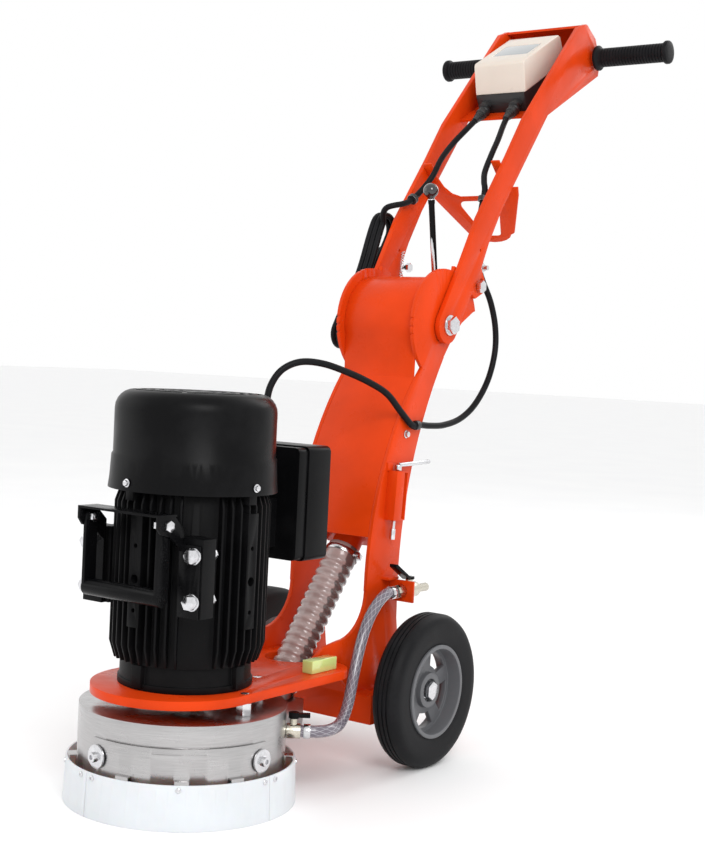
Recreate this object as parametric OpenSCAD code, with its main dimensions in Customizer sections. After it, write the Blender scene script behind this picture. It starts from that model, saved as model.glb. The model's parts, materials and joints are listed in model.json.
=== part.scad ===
// Walk-behind single-disc concrete grinder.
// The motor stands on a deck plate over the grinding head, a curved twin-plate
// column rises from the deck and the axle, and a folding handle hinges on it.
// +Z is up, -Y is the front with the grinding head, the operator stands at +Y.

/* [Grinding head] */
// Outer radius of the dust skirt at the floor
skirt_r = 155; // [140:1:170]
// Height of the dust skirt
skirt_h = 57.7; // [50:0.1:60]
// Outer radius of the steel shroud
shroud_r = 138.4; // [134:0.1:142]
// Height of the top of the shroud
shroud_top = 128.4; // [120:0.1:130]
// Radius of the grinding disc
disc_r = 125; // [110:1:128]
// Direction that the edge guard faces, from straight ahead towards +X
guard_turn = 40; // [30:1:50]

/* [Deck and motor] */
// Height of the deck's top face
deck_top = 156.5; // [154:0.1:160]
// Thickness of the deck
deck_t = 12; // [8:0.5:14]
// Half width of the deck
deck_half = 113; // [105:1:118]
// Radius over the motor's cooling fins
fin_r = 104.5; // [100:0.5:108]
// Number of cooling fins
fin_count = 48; // [36:4:56]
// Height of the fan cowl's lower rim
cowl_z = 413.6; // [405:0.1:420]
// Height of the fan cowl's top
cowl_top = 543; // [530:1:560]

/* [Wheels] */
// Radius of the tyres
tyre_r = 113.5; // [105:0.5:120]
// Width of a tyre
tyre_w = 44.3; // [36:0.1:48]
// Distance from the centre plane to a tyre's outer face
tyre_out = 173.9; // [165:0.1:180]
// Distance of the axle behind the grinding head's axis
axle_y = 363; // [355:1:370]
// Radius of the axle
axle_r = 10; // [9:0.5:12]

/* [Column and handle] */
// Distance from the centre plane to the outer face of a side plate
plate_out = 72; // [68:1:76]
// Thickness of a side plate
plate_t = 6; // [4:1:8]
// Handle pivot's distance behind the grinding head's axis
pivot_y = 491; // [485:1:500]
// Height of the handle pivot
pivot_z = 656; // [645:1:665]
// Radius of the notched quadrant round the pivot
quadrant_r = 88; // [86:1:92]
// Distance from the centre plane to the outer face of a handle arm
arm_out = 82; // [80:1:86]
// Thickness of a handle arm
arm_t = 8; // [6:1:8]
// Distance from the centre plane to the end of a grip
grip_end = 228; // [215:1:240]

/* [Hidden] */
$fn = 64;

orange = "orangered";
black = [0.09, 0.09, 0.1];
steel = "silver";

handle_rear = 957;
mid_y = (handle_rear - skirt_r) / 2;
deck_low = deck_top - deck_t;
plate_in = plate_out - plate_t;
arm_in = arm_out - arm_t;
gap = 0.3;

// The machine is drawn with the grinding head on the Z axis, then centred.
module machine() translate([0, -mid_y, 0]) children();
module mirrored() {
    children();
    mirror([1, 0, 0]) children();
}
// A plate drawn in the (y, z) plane, from x to x + t.
module side_slab(x, t)
    translate([x, 0, 0]) rotate([90, 0, 90]) linear_extrude(t) children();
// A bar of round section along X.
module x_rod(y, z, r, x0, x1)
    translate([x0, y, z]) rotate([0, 90, 0]) cylinder(r = r, h = x1 - x0);
module x_tube(y, z, r, bore, x0, x1)
    difference() {
        x_rod(y, z, r, x0, x1);
        x_rod(y, z, bore, x0 - 1, x1 + 1);
    }
module ring(r, bore, h)
    difference() {
        cylinder(r = r, h = h);
        translate([0, 0, -1]) cylinder(r = bore, h = h + 2);
    }
// Hexagon head or nut on the XY plane, across flats af.
module hexagon(af, h) cylinder(r = af / sqrt(3), h = h, $fn = 6);
// Places a piece at an angle round the head: 0 faces the front, 90 faces +X.
module at_angle(a) rotate([0, 0, a]) rotate([0, 0, -90]) children();
// Part of a ring between two angles of at_angle.
module arc_band(r, bore, h, from, to)
    rotate([0, 0, from - 90]) rotate_extrude(angle = to - from)
        translate([bore, 0]) square([r - bore, h]);
// A round bar between two points.
module bar(a, b, r) {
    d = b - a;
    translate(a) rotate([0, acos(d[2] / norm(d)), atan2(d[1], d[0])])
        cylinder(r = r, h = norm(d));
}

// Smooth points of a route, and a closed tube swept along them.
function unit(v) = v / norm(v);
function tangents(p) = [for (i = [0 : len(p) - 1])
    unit(p[min(i + 1, len(p) - 1)] - p[max(i - 1, 0)])];
function carried(n, t) = unit(n - (n * t) * t);
function normals(t, n) = [for (i = 0, m = carried(n, t[0]); i < len(t);
    i = i + 1, m = carried(m, t[min(i, len(t) - 1)])) m];
function spline(p, i, u) = let (a = p[max(i - 1, 0)], b = p[i], c = p[i + 1],
    d = p[min(i + 2, len(p) - 1)]) 0.5 * (2 * b + (c - a) * u
    + (2 * a - 5 * b + 4 * c - d) * u * u + (3 * b - a - 3 * c + d) * u * u * u);
function smooth(p, steps) = concat([for (i = [0 : len(p) - 2], k = [0 : steps - 1])
    spline(p, i, k / steps)], [p[len(p) - 1]]);
module tube(route, r, sides = 10) {
    t = tangents(route);
    n = normals(t, [0.31, 0.52, 0.8]);
    last = len(route) - 1;
    points = [for (i = [0 : last], k = [0 : sides - 1]) let (a = 360 * k / sides)
        route[i] + r * (cos(a) * n[i] + sin(a) * cross(t[i], n[i]))];
    walls = [for (i = [0 : last - 1], k = [0 : sides - 1]) let (j = (k + 1) % sides)
        [i * sides + k, (i + 1) * sides + k, (i + 1) * sides + j, i * sides + j]];
    caps = [[for (k = [0 : sides - 1]) k],
        [for (k = [sides - 1 : -1 : 0]) last * sides + k]];
    polyhedron(points = points, faces = concat(walls, caps));
}

// ---- column -------------------------------------------------------------

column_foot_z = 262;
front_edge = [314, 500];   // distance behind the head at the foot, and radius
rear_edge = [396, 640];
beam = [285, 325, 65.5, 106];
drum_r = 75;
skin_t = 4;
rod_angle = 38.8;
rod_reach = 105.3;
latch_r = 6;
rod_y = pivot_y + rod_reach * cos(rod_angle);
rod_z = pivot_z + rod_reach * sin(rod_angle);
lobe_r = 97;

function edge_at(e, z) = e[0] + e[1] * (1 - sqrt(1 - pow((z - column_foot_z) / e[1], 2)));
function edge_points(e, z0, z1, n, inset = 0) = [for (i = [0 : n])
    let (z = z0 + (z1 - z0) * i / n) [edge_at(e, z) + inset, z]];
function arc(cy, cz, r, a0, a1, n) = [for (i = [0 : n])
    let (a = a0 + (a1 - a0) * i / n) [cy + r * cos(a), cz + r * sin(a)]];

module column_profile() {
    polygon(concat(
        edge_points(front_edge, 600, 254, 14),
        arc(250, 253, 65, 0, -90, 10),
        [[215, 183], [192, 170], [186, deck_top], [254, deck_top], [254, 140]],
        [[beam[0] - 0.3, beam[3]], [beam[1] + 0.3, beam[3]], [beam[1] + 0.3, 84]],
        [[392, 84], [409, 100], [411, 130], [398, 205]],
        edge_points(rear_edge, 262, 606, 14)));
}
module quadrant_profile() {
    difference() {
        intersection() {
            translate([pivot_y, pivot_z]) union() {
                circle(r = quadrant_r);
                intersection() {
                    circle(r = lobe_r);
                    polygon([for (a = [0, 10, 50, 76]) (a == 0 ? 0 : 140) * [cos(a), sin(a)]]);
                }
            }
            // The rear edge runs on straight from the column's.
            polygon([[490, 599], [522, 641], [545, 662], [578, 681], [610, 690], [610, 790],
                [380, 790], [380, 560], [460, 558]]);
        }
        for (a = [rod_angle, 56])
            translate([pivot_y + (lobe_r + 3) * cos(a), pivot_z + (lobe_r + 3) * sin(a)])
                circle(r = latch_r + 0.6);
        for (a = [88, 96, 104, 112, 176, 184, 192])
            translate([pivot_y + quadrant_r * cos(a), pivot_z + quadrant_r * sin(a)])
                circle(r = 2);
    }
}
module side_plates() color(orange) machine() {
    mirrored() {
        difference() {
            side_slab(plate_in, plate_t) union() {
                column_profile();
                quadrant_profile();
            }
            x_rod(pivot_y, pivot_z, 10.05, plate_in - 1, plate_out + 1);
            x_rod(axle_y, tyre_r, axle_r + 0.2, plate_in - 1, plate_out + 1);
        }
    }
    // Ears that carry the tap, welded to the right-hand plate.
    translate([plate_out, 352, 268]) cube([13, 27, 4]);
    translate([plate_out, 372, 236]) difference() {
        cube([44, 4, 32]);
        translate([24, 5, 16]) rotate([90, 0, 0]) cylinder(r = 9.2, h = 6);
    }
    // Ear of the drum's tool hook.
    translate([plate_out, 350, 432]) cube([3, 14, 12]);
}

skin_z0 = 333;
module column_skin() color(orange) machine() {
    outer = concat(arc(pivot_y, pivot_z, drum_r, 60, 197, 22), [[420.5, 604]],
        edge_points(front_edge, 572, skin_z0, 12));
    inner = concat(edge_points(front_edge, skin_z0, 570, 12, skin_t), [[420.5 + skin_t, 603]],
        arc(pivot_y, pivot_z, drum_r - skin_t, 195, 60, 22));
    difference() {
        side_slab(-plate_in + gap, 2 * (plate_in - gap)) polygon(concat(outer, inner));
        translate([-16, pivot_y + 4, pivot_z + 50]) cube([32, 60, 40]);
    }
}

hose_dir = [0, 0.608, 0.794];
hose_low = [0, 204, 112];
hose_top = [0, 353, 306.6];
hose_r = 25.2;
hose_bore = 22.4;
port_bore = 20;
module along_hose(p) translate(p) rotate([-37.45, 0, 0]) children();
module bulkhead() color(orange) machine() {
    difference() {
        along_hose(hose_top + 30 * hose_dir) translate([-plate_in + gap, -52, 0])
            cube([2 * (plate_in - gap), 88, 4]);
        along_hose(hose_top + 28 * hose_dir) cylinder(r = hose_bore - 0.4, h = 10);
    }
    along_hose(hose_top - 22 * hose_dir) ring(hose_bore - 0.2, port_bore, 56);
    along_hose(hose_top + 33 * hose_dir) ring(hose_r, port_bore, 87);
}

module axle_carrier() color(orange) machine() {
    difference() {
        translate([-101.7, beam[0], beam[2]])
            cube([203.4, beam[1] - beam[0], beam[3] - beam[2]]);
        translate([-110, beam[0] + 4, beam[2] + 4])
            cube([220, beam[1] - beam[0] - 8, beam[3] - beam[2] - 8]);
    }
    mirrored() difference() {
        side_slab(101.7, 8) polygon([[beam[0], beam[2]], [380, beam[2]], [395, 85],
            [395, 122], [380, 138], [346, 138], [beam[0], 108]]);
        x_rod(axle_y, tyre_r, axle_r, 100, 112);
    }
    side_slab(-plate_in + gap, 2 * (plate_in - gap))
        polygon([[258, deck_low - 8], [262, deck_low - 8], [289, beam[3]], [285, beam[3]]]);
}

axle_end = 166;
module axle() color(steel) machine() {
    x_rod(axle_y, tyre_r, axle_r, -axle_end, axle_end);
    mirrored() {
        x_tube(axle_y, tyre_r, 14, axle_r, 110, 127);
        translate([axle_end - 12, axle_y, tyre_r]) rotate([0, 90, 0]) difference() {
            union() {
                cylinder(r = 13, h = 2);
                hexagon(24, 12);
            }
            translate([0, 0, -1]) cylinder(r = axle_r, h = 14);
        }
    }
}

// ---- deck and motor -----------------------------------------------------

deck_nose = -17;
corner_r = 50;
module deck_outline() {
    translate([0, deck_nose]) circle(r = deck_half);
    translate([-deck_half, deck_nose]) square([2 * deck_half, 200 - deck_nose]);
    for (s = [-1, 1]) translate([s * (deck_half - corner_r), 200]) circle(r = corner_r);
    translate([-deck_half + corner_r, 190]) square([2 * (deck_half - corner_r), 60]);
    translate([-plate_in + gap, 190]) square([2 * (plate_in - gap), 104]);
}
standoff_angles = [90, 150, 210, 270];
standoff_pcd_r = 104;
module deck_plate() color(orange) machine() difference() {
    translate([0, 0, deck_low]) linear_extrude(deck_t) deck_outline();
    translate([0, 0, deck_low - 1]) cylinder(r = 42, h = deck_t + 2);
    translate([0, 233.5, deck_low - 1]) cylinder(r = 40, h = deck_t + 2);
    for (a = standoff_angles) at_angle(a) translate([standoff_pcd_r, 0, deck_low - 1])
        cylinder(r = 6.1, h = deck_t + 2);
}

bell_r = 89.8;
frame_low = 190;
frame_core = 92;
module motor_bell() color(black) machine() {
    difference() {
        union() {
            translate([0, 0, deck_top]) cylinder(r = bell_r, h = 9);
            translate([0, 0, deck_top + 9]) cylinder(r = bell_r - 2.5, h = frame_low - deck_top - 9);
            for (a = [0, 90, 180, 270]) at_angle(a) translate([70, -8, deck_top + 4])
                cube([25, 16, frame_low - deck_top - 4]);
        }
        translate([0, 0, deck_top - 1]) cylinder(r = 30, h = 60);
        translate([0, 0, deck_top + 8]) cylinder(r = 78, h = 60);
    }
    difference() {
        translate([0, 0, deck_top + 8]) cylinder(r = 40, h = 22);
        translate([0, 0, deck_top]) cylinder(r = 26.1, h = 40);
    }
}

cowl_screws = [-7, 87, 173, 267];
pad_front = 92;
pad_z = [262, 362];
pad_bolt_z = [283, 341];
module fin() rotate([90, 0, 0]) linear_extrude(2.6, center = true)
    polygon([[frame_core - 2, frame_low + 1], [97, frame_low + 1], [fin_r, 214],
        [fin_r, 398], [100, 411], [frame_core - 2, 413]]);
module motor_frame() color(black) machine() {
    difference() {
        union() {
            translate([0, 0, frame_low]) cylinder(r = frame_core, h = cowl_z + 6 - frame_low);
            for (i = [0 : fin_count - 1]) let (a = (i + 0.5) * 360 / fin_count)
                if (abs(abs(a - 270) - 49) > 14) rotate([0, 0, a]) fin();
            for (a = [0, 90, 180, 270]) at_angle(a) translate([80, -10, 240])
                cube([fin_r - 80 + 1, 20, 150]);
            mirrored() {
                translate([66, -pad_front, pad_z[0]]) cube([36, 24, pad_z[1] - pad_z[0]]);
                translate([61, 4 - pad_front, pad_z[0]]) cube([19, 26, pad_z[1] - pad_z[0]]);
            }
            // Lugs that the cowl's screws bite into.
            for (a = cowl_screws) at_angle(a) translate([88, -7, 402]) cube([20, 14, 28]);
        }
        translate([0, 0, frame_low - 1]) cylinder(r = 80, h = 300);
        for (a = [0, 90, 180, 270], z = [262, 302, 345]) at_angle(a)
            translate([94, 0, z]) rotate([0, 90, 0]) cylinder(r = z == 302 ? 6 : 3, h = 20);
        for (z = pad_bolt_z) mirrored() translate([91, -60, z])
            rotate([90, 0, 0]) cylinder(r = 5, h = 40);
    }
    // Upper end shield.
    difference() {
        translate([0, 0, cowl_z - 14]) cylinder(r = 81, h = 10);
        translate([0, 0, cowl_z - 20]) cylinder(r = 23.6, h = 30);
    }
}

cowl_t = 2.5;
module cowl_solid(inset) rotate_extrude() polygon(concat([[0, cowl_z - (inset > 0 ? 1 : 0)],
    [112.6 - inset, cowl_z - (inset > 0 ? 1 : 0)], [111 - inset, 428], [109.5 - inset, 457],
    [107.5 - inset, 460]], [for (a = [0 : 15 : 90])
    [82.5 + (25 - inset) * cos(a), cowl_top - 25 + (25 - inset) * sin(a)]],
    [[0, cowl_top - inset]]));
module fan_cowl() color(black) machine() {
    difference() {
        cowl_solid(0);
        cowl_solid(cowl_t);
        for (r = [20 : 12 : 80]) difference() {
            translate([0, 0, cowl_top - 6]) ring(r + 7, r, 8);
            for (a = [0, 60, 120]) rotate([0, 0, a]) translate([-100, -3, cowl_top - 8])
                cube([200, 6, 12]);
        }
    }
}

module stator() color("dimgray") machine() {
    translate([0, 0, 240]) ring(79.7, 52.5, 120);
    color("chocolate") for (z = [222, 360.2]) translate([0, 0, z]) ring(74, 56, 17.8);
}
shaft_r = 12;
bearing_z = [deck_top + 10, cowl_z - 14];
module motor_bearings() color(steel) machine() {
    translate([0, 0, bearing_z[0]]) ring(26, shaft_r + 0.05, 15);
    translate([0, 0, bearing_z[1]]) ring(23.5, shaft_r + 0.05, 10);
}
module rotor() color("gray") machine() {
    translate([0, 0, 100]) cylinder(r = shaft_r, h = 400);
    translate([0, 0, 245]) ring(52, shaft_r, 110);
}
fan_z = 462;
module cooling_fan() color(black) machine() {
    translate([0, 0, fan_z]) ring(24, shaft_r, 26);
    translate([0, 0, fan_z]) ring(90, 24, 3);
    for (i = [0 : 8]) rotate([0, 0, i * 40]) translate([22, -1.5, fan_z + 2])
        cube([66, 3, 23]);
}

// ---- grinding head ------------------------------------------------------

wall_t = 2.4;
outlet_y = [134, 222];
module shroud() color(steel) machine() {
    difference() {
        union() {
            translate([0, 0, 42]) cylinder(r = shroud_r, h = shroud_top - 42);
            translate([-34, outlet_y[0] - 20, 62]) cube([68, outlet_y[1] - outlet_y[0] + 20, 40]);
            difference() {
                along_hose(hose_low - 24 * hose_dir) cylinder(r = hose_bore - 0.2, h = 44);
                translate([-40, 100, 40]) cube([80, 140, 61]);
            }
        }
        translate([0, 0, 41]) cylinder(r = shroud_r - wall_t, h = shroud_top - wall_t - 41);
        translate([-32, 100, 64]) cube([64, outlet_y[1] - 102, 36]);
        translate([0, 0, 100]) cylinder(r = 44, h = 60);
        rotate([0, 0, guard_turn - 132]) rotate_extrude(angle = 84)
            translate([100, 40]) square([50, 56]);
        for (a = standoff_angles) at_angle(a) translate([standoff_pcd_r, 0, shroud_top - 10])
            cylinder(r = 6.1, h = 20);
        along_hose(hose_low - 34 * hose_dir) cylinder(r = port_bore, h = 64);
        at_angle(127) translate([120, 0, 94]) rotate([0, 90, 0]) cylinder(r = 6.2, h = 30);
    }
    // Bent tabs that carry the rear skirt.
    for (a = [128, 160, 200, 240, 280, 320]) at_angle(a) {
        translate([shroud_r - 1, -10, 48]) cube([2.4, 20, 14]);
        translate([shroud_r + 1.2, -10, 60]) cube([9.6, 20, 2]);
        translate([shroud_r + 9, -10, 40]) cube([2, 20, 22]);
    }
}
module standoff_bolts() color(steel) machine()
    for (a = standoff_angles) at_angle(a) translate([standoff_pcd_r, 0, 0]) {
        translate([0, 0, shroud_top]) difference() {
            hexagon(19, deck_low - shroud_top);
            translate([0, 0, -1]) cylinder(r = 6, h = 30);
        }
        translate([0, 0, shroud_top - 10]) cylinder(r = 6, h = deck_top - shroud_top + 10);
        translate([0, 0, shroud_top - wall_t - 7]) ring(10, 6, 7);
    }

skirt_span = 49.3;
skirt_t = 3;
module skirt_band(from, to) rotate([0, 0, from - 90]) rotate_extrude(angle = to - from)
    polygon([[skirt_r - skirt_t, 0], [skirt_r, 0], [skirt_r - 2.2, skirt_h],
        [skirt_r - 2.2 - skirt_t, skirt_h]]);
module rear_skirt() color("white") machine()
    skirt_band(guard_turn + skirt_span + 0.3, guard_turn + 360 - skirt_span - 0.3);
module front_skirt() color("white") machine()
    skirt_band(guard_turn - skirt_span, guard_turn + skirt_span);

door_r = shroud_r + 2.8;
module edge_door() color(steel) machine() {
    difference() {
        rotate([0, 0, guard_turn - 51 - 90]) rotate_extrude(angle = 102)
            translate([shroud_r + 0.4, 22]) square([2.4, 78]);
        for (s = [-1, 1]) at_angle(guard_turn + 46.9 * s)
            translate([120, 0, 77]) rotate([0, 90, 0]) cylinder(r = 4.2, h = 30);
    }
    // Raised lip of the finger slot.
    translate([0, 0, 85]) arc_band(door_r + 1.6, door_r - 0.5, 8, guard_turn - 14, guard_turn + 14);
    // Tabs that carry the front skirt.
    for (a = [-28, 2, 30]) at_angle(guard_turn + a) {
        translate([door_r - 0.6, -9, 60]) cube([9.2, 18, 2]);
        translate([door_r + 6.6, -9, 40]) cube([2, 18, 22]);
    }
}
module guard_bolts() color(steel) machine()
    for (s = [-1, 1]) at_angle(guard_turn + 46.9 * s) translate([0, 0, 77]) rotate([0, 90, 0]) {
        translate([0, 0, door_r + 1.6]) ring(15, 4.2, 2.4);
        translate([0, 0, door_r + 4]) difference() {
            cylinder(r = 6.5, h = 7);
            translate([0, 0, 4]) hexagon(6, 8);
        }
        translate([0, 0, door_r - 0.3]) cylinder(r = 4, h = 5);
    }

module disc_hub() color("dimgray") machine() {
    difference() {
        union() {
            translate([0, 0, 20]) cylinder(r = 46, h = 12);
            translate([0, 0, 32]) cylinder(r = 26, h = 98);
        }
        translate([0, 0, 99.8]) cylinder(r = shaft_r, h = 60);
    }
}
segment_count = 12;
module grinding_disc() color("darkslategray") machine() {
    difference() {
        translate([0, 0, 12]) cylinder(r = disc_r, h = 8);
        translate([0, 0, 11]) cylinder(r = 14, h = 10);
        for (a = [0 : 60 : 300]) rotate([0, 0, a]) translate([72, 0, 11])
            cylinder(r = 9, h = 10);
    }
    color("goldenrod") for (i = [0 : segment_count - 1])
        arc_band(disc_r - 3, disc_r - 20, 12.5, i * 30, i * 30 + 16);
}

// ---- wheels -------------------------------------------------------------

rim_r = 69;
module wheel_tyre() {
    inner = tyre_out - tyre_w;
    translate([0, axle_y, tyre_r]) rotate([0, 90, 0]) rotate_extrude()
        polygon([[rim_r, inner + 3], [82, inner + 1], [100, inner], [109, inner + 3],
            [tyre_r, inner + 10], [tyre_r, tyre_out - 10], [109, tyre_out - 3],
            [100, tyre_out], [82, tyre_out - 1], [rim_r, tyre_out - 3]]);
}
hub_r = 26;
hub_out = 153.6;
module wheel_rim() {
    inner = tyre_out - tyre_w;
    translate([0, axle_y, tyre_r]) rotate([0, 90, 0]) {
        difference() {
            translate([0, 0, inner + 3]) cylinder(r = rim_r, h = tyre_w - 3);
            translate([0, 0, inner]) cylinder(r = rim_r - 6, h = 14);
            translate([0, 0, tyre_out - 22]) cylinder(r = rim_r - 6, h = 30);
            translate([0, 0, inner]) cylinder(r = axle_r + 0.06, h = 60);
            for (i = [0 : 4]) rotate([0, 0, 72 * i]) linear_extrude(200)
                polygon([for (a = [-24, -8, 8, 24]) 58 * [cos(a), sin(a)],
                    for (a = [18, 0, -18]) 36 * [cos(a), sin(a)]]);
        }
        translate([0, 0, inner - 1]) ring(hub_r, axle_r + 0.06, hub_out - inner + 1);
        translate([0, 0, hub_out - 1]) ring(hub_r, 17, 8);
    }
}
module tyre_right() color(black) machine() wheel_tyre();
module tyre_left() color(black) machine() mirror([1, 0, 0]) wheel_tyre();
module rim_right() color("gray") machine() wheel_rim();
module rim_left() color("gray") machine() mirror([1, 0, 0]) wheel_rim();

// ---- dust and water -----------------------------------------------------

module dust_hose() color("lightgray") machine()
    along_hose(hose_low + 8 * hose_dir) ring(hose_r, hose_bore, norm(hose_top - hose_low) - 8);
module hose_clamps() color(steel) machine() {
    for (t = [9, norm(hose_top - hose_low) - 14]) along_hose(hose_low + t * hose_dir) {
        ring(hose_r + 1.4, hose_r + 0.1, 8);
        translate([hose_r + 1, -6, 0]) cube([8, 12, 8]);
    }
    for (p = [[water_route[0], water_route[1]],
            [water_route[len(water_route) - 1], water_route[len(water_route) - 2]]]) {
        d = unit(p[1] - p[0]);
        difference() {
            bar(p[0] + 4 * d, p[0] + 13 * d, water_r + 1.6);
            bar(p[0] + 2 * d, p[0] + 15 * d, water_r + 0.4);
        }
    }
}
water_r = 8.2;
// The water hose runs from the shroud's drain tap up to the ball valve.
water_route = [[126, 95, 94], [142, 107, 94], [150, 126, 94], [144, 156, 94],
    [130, 188, 98], [116, 218, 112], [106, 240, 136], [101, 256, 166], [98, 272, 196],
    [96, 291, 222], [96, 312, 242], [96, 332, 252], [96, 351, 252]];
module water_hose() color("lightgray") machine() difference() {
    tube(smooth(water_route, 3), water_r, 12);
    for (p = [[water_route[0], water_route[1]],
            [water_route[len(water_route) - 1], water_route[len(water_route) - 2]]]) {
        d = unit(p[1] - p[0]);
        bar(p[0] - 2 * d, p[0] + 19 * d, 5.5);
    }
}
fitting_dir = [0.799, 0.602, 0];
fitting_start = [110.9, 83.6, 94];
module water_fitting() color("gainsboro") machine() difference() {
    union() {
        bar(fitting_start - 4 * fitting_dir, fitting_start + 4 * fitting_dir, 6);
        bar(fitting_start, fitting_start + 18.6 * fitting_dir, 10);
        bar(fitting_start + 10 * fitting_dir, fitting_start + 33 * fitting_dir, 5.1);
        translate(fitting_start + 9 * fitting_dir) cylinder(r = 5, h = 17);
    }
    bar(fitting_start - 10 * fitting_dir, fitting_start + 60 * fitting_dir, 3);
}
drain_axis = fitting_start + 9 * fitting_dir;
module drain_lever() color(black) machine() translate([drain_axis[0], drain_axis[1], 0]) {
    translate([0, 0, 111.4]) cylinder(r = 7, h = 8);
    rotate([0, 0, 37]) translate([-4, -5, 113]) cube([26, 10, 5]);
}
valve_x = 96;
valve_z = 252;
module ball_valve() color(steel) machine() difference() {
    union() {
        translate([valve_x, 353, valve_z]) rotate([-90, 0, 0]) cylinder(r = 10, h = 18.7, $fn = 8);
        translate([valve_x, 376.3, valve_z]) rotate([-90, 0, 0]) cylinder(r = 11.5, h = 30);
        translate([valve_x, 370, valve_z]) rotate([-90, 0, 0]) cylinder(r = 9, h = 12);
        translate([valve_x, 406, valve_z]) rotate([-90, 0, 0]) cylinder(r = 9, h = 8, $fn = 6);
        translate([valve_x, 412, valve_z]) rotate([-90, 0, 0]) cylinder(r = 6.5, h = 26);
        translate([valve_x, 336, valve_z]) rotate([-90, 0, 0]) cylinder(r = 5.1, h = 20);
        translate([valve_x, 391, valve_z]) cylinder(r = 5.5, h = 16);
    }
    translate([valve_x, 330, valve_z]) rotate([-90, 0, 0]) cylinder(r = 3, h = 120);
}
module valve_lever() color(black) machine() translate([valve_x, 391, valve_z + 16.4]) {
    difference() {
        cylinder(r = 8, h = 4);
        translate([0, 0, -1]) cylinder(r = 2.6, h = 8);
    }
    hull() {
        translate([-7, -8, 0]) cube([14, 2, 4]);
        translate([-6, -46, 22]) cube([12, 4, 4]);
    }
}

// ---- small fittings on the frame ----------------------------------------

module bubble_level() color([0.75, 0.85, 0.3]) machine() {
    difference() {
        translate([78, 156, deck_top]) cube([18, 57, 18]);
        translate([87, 162, deck_top + 10]) rotate([-90, 0, 0]) cylinder(r = 6.2, h = 45);
    }
    translate([87, 165, deck_top + 10]) rotate([-90, 0, 0]) cylinder(r = 6, h = 39);
}

box_y = [130, 200];
box_half = 78;
box_z = [312, 472];
lid_split = 150;
module rounded_block(x, y0, y1, z0, z1, r) hull() for (sx = [-1, 1], sz = [z0 + r, z1 - r])
    translate([sx * (x - r), y0, sz]) rotate([-90, 0, 0]) cylinder(r = r, h = y1 - y0, $fn = 32);
module terminal_box() color(black) machine() {
    difference() {
        rounded_block(box_half - 2, box_y[0], lid_split, box_z[0] + 2, box_z[1] - 2, 8);
        translate([-box_half + 7, box_y[0] + 4, box_z[0] + 7])
            cube([2 * box_half - 14, 80, box_z[1] - box_z[0] - 14]);
    }
    translate([-40, 105.6, 330]) cube([80, box_y[0] - 105, 68]);
    // Run and start capacitors inside the box.
    color("dimgray") for (x = [-30, 30]) translate([x, 163, 335]) cylinder(r = 17, h = 90);
    // Cable gland on top of the box.
    translate([-15, 166, box_z[1] + 0.2]) {
        cylinder(r = 11, h = 8, $fn = 6);
        translate([0, 0, 8]) cylinder(r1 = 9, r2 = 7, h = 12);
    }
}
module terminal_lid() color(black) machine() difference() {
    rounded_block(box_half, lid_split + 0.1, box_y[1], box_z[0], box_z[1], 9);
    translate([-box_half + 3, lid_split - 1, box_z[0] + 3])
        cube([2 * box_half - 6, box_y[1] - lid_split - 2, box_z[1] - box_z[0] - 6]);
}

hinge_y = -124;
hinge_z = 378;
ear_x = 66;
module lift_bracket() color(black) machine() mirrored() {
    difference() {
        union() {
            // Ear with the hinge hole, running back to the motor's pad.
            side_slab(ear_x, 4) polygon([[-141, 389], [-141, 376], [-134, 367], [-118, 364],
                [-96, 345], [-96, 262], [-pad_front, 262], [-pad_front, 372], [-110, 389]]);
            // Wing that bolts on the pad.
            translate([ear_x, -pad_front - 4, pad_z[0]]) cube([34, 4, 92]);
        }
        x_rod(hinge_y, hinge_z, 4.1, ear_x - 1, ear_x + 6);
        for (z = pad_bolt_z) translate([91, -80, z]) rotate([90, 0, 0]) cylinder(r = 5, h = 40);
    }
    translate([-0.01, -141, 389]) cube([ear_x + 4.01, 34, 3]);
}
bail_low = 285;
bail_r = 9;
module lift_bail() color(black) machine() {
    mirrored() difference() {
        translate([ear_x - 5.5, hinge_y - 10, bail_low]) union() {
            cube([5, 20, hinge_z - bail_low]);
            translate([0, 10, hinge_z - bail_low]) rotate([0, 90, 0]) cylinder(r = 10, h = 5);
        }
        x_rod(hinge_y, hinge_z, 4.1, ear_x - 8, ear_x);
    }
    x_rod(hinge_y, bail_low + 2, bail_r + 2, -ear_x + 0.5, ear_x - 0.5);
}

clip_at = [plate_out + 7, 416, 500];
module frame_bolts() color(steel) machine() {
    // Cowl screws.
    for (a = cowl_screws) at_angle(a) translate([112.4, 0, 424]) rotate([0, 90, 0]) {
        ring(5.5, 2, 1.2);
        translate([0, 0, 1.2]) hexagon(7, 3);
    }
    // Bolts of the lift bracket, with nuts behind the pads.
    mirrored() for (z = pad_bolt_z) translate([91, -pad_front - 4, z]) rotate([90, 0, 0]) {
        ring(11, 4.9, 2);
        translate([0, 0, 2]) hexagon(17, 8);
        translate([0, 0, -36]) cylinder(r = 4.9, h = 44);
        translate([0, 0, -36.2]) hexagon(15, 8);
    }
    // Hinge bolts of the bail.
    mirrored() {
        x_rod(hinge_y, hinge_z, 4, ear_x - 14, ear_x + 8);
        translate([ear_x + 4, hinge_y, hinge_z]) rotate([0, 90, 0]) hexagon(13, 6);
        translate([ear_x - 13, hinge_y, hinge_z]) rotate([0, 90, 0]) hexagon(13, 7);
    }
    // Screw and hoop of the lead clip on the column.
    color(black) translate(clip_at) rotate([90, 0, 0]) translate([0, 0, -4]) ring(6.95, 5.6, 8);
    translate([plate_out, 398, 486]) rotate([0, 90, 0]) {
        ring(6, 2, 1.5);
        translate([0, 0, 1.5]) hexagon(8, 4);
    }
}

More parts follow.
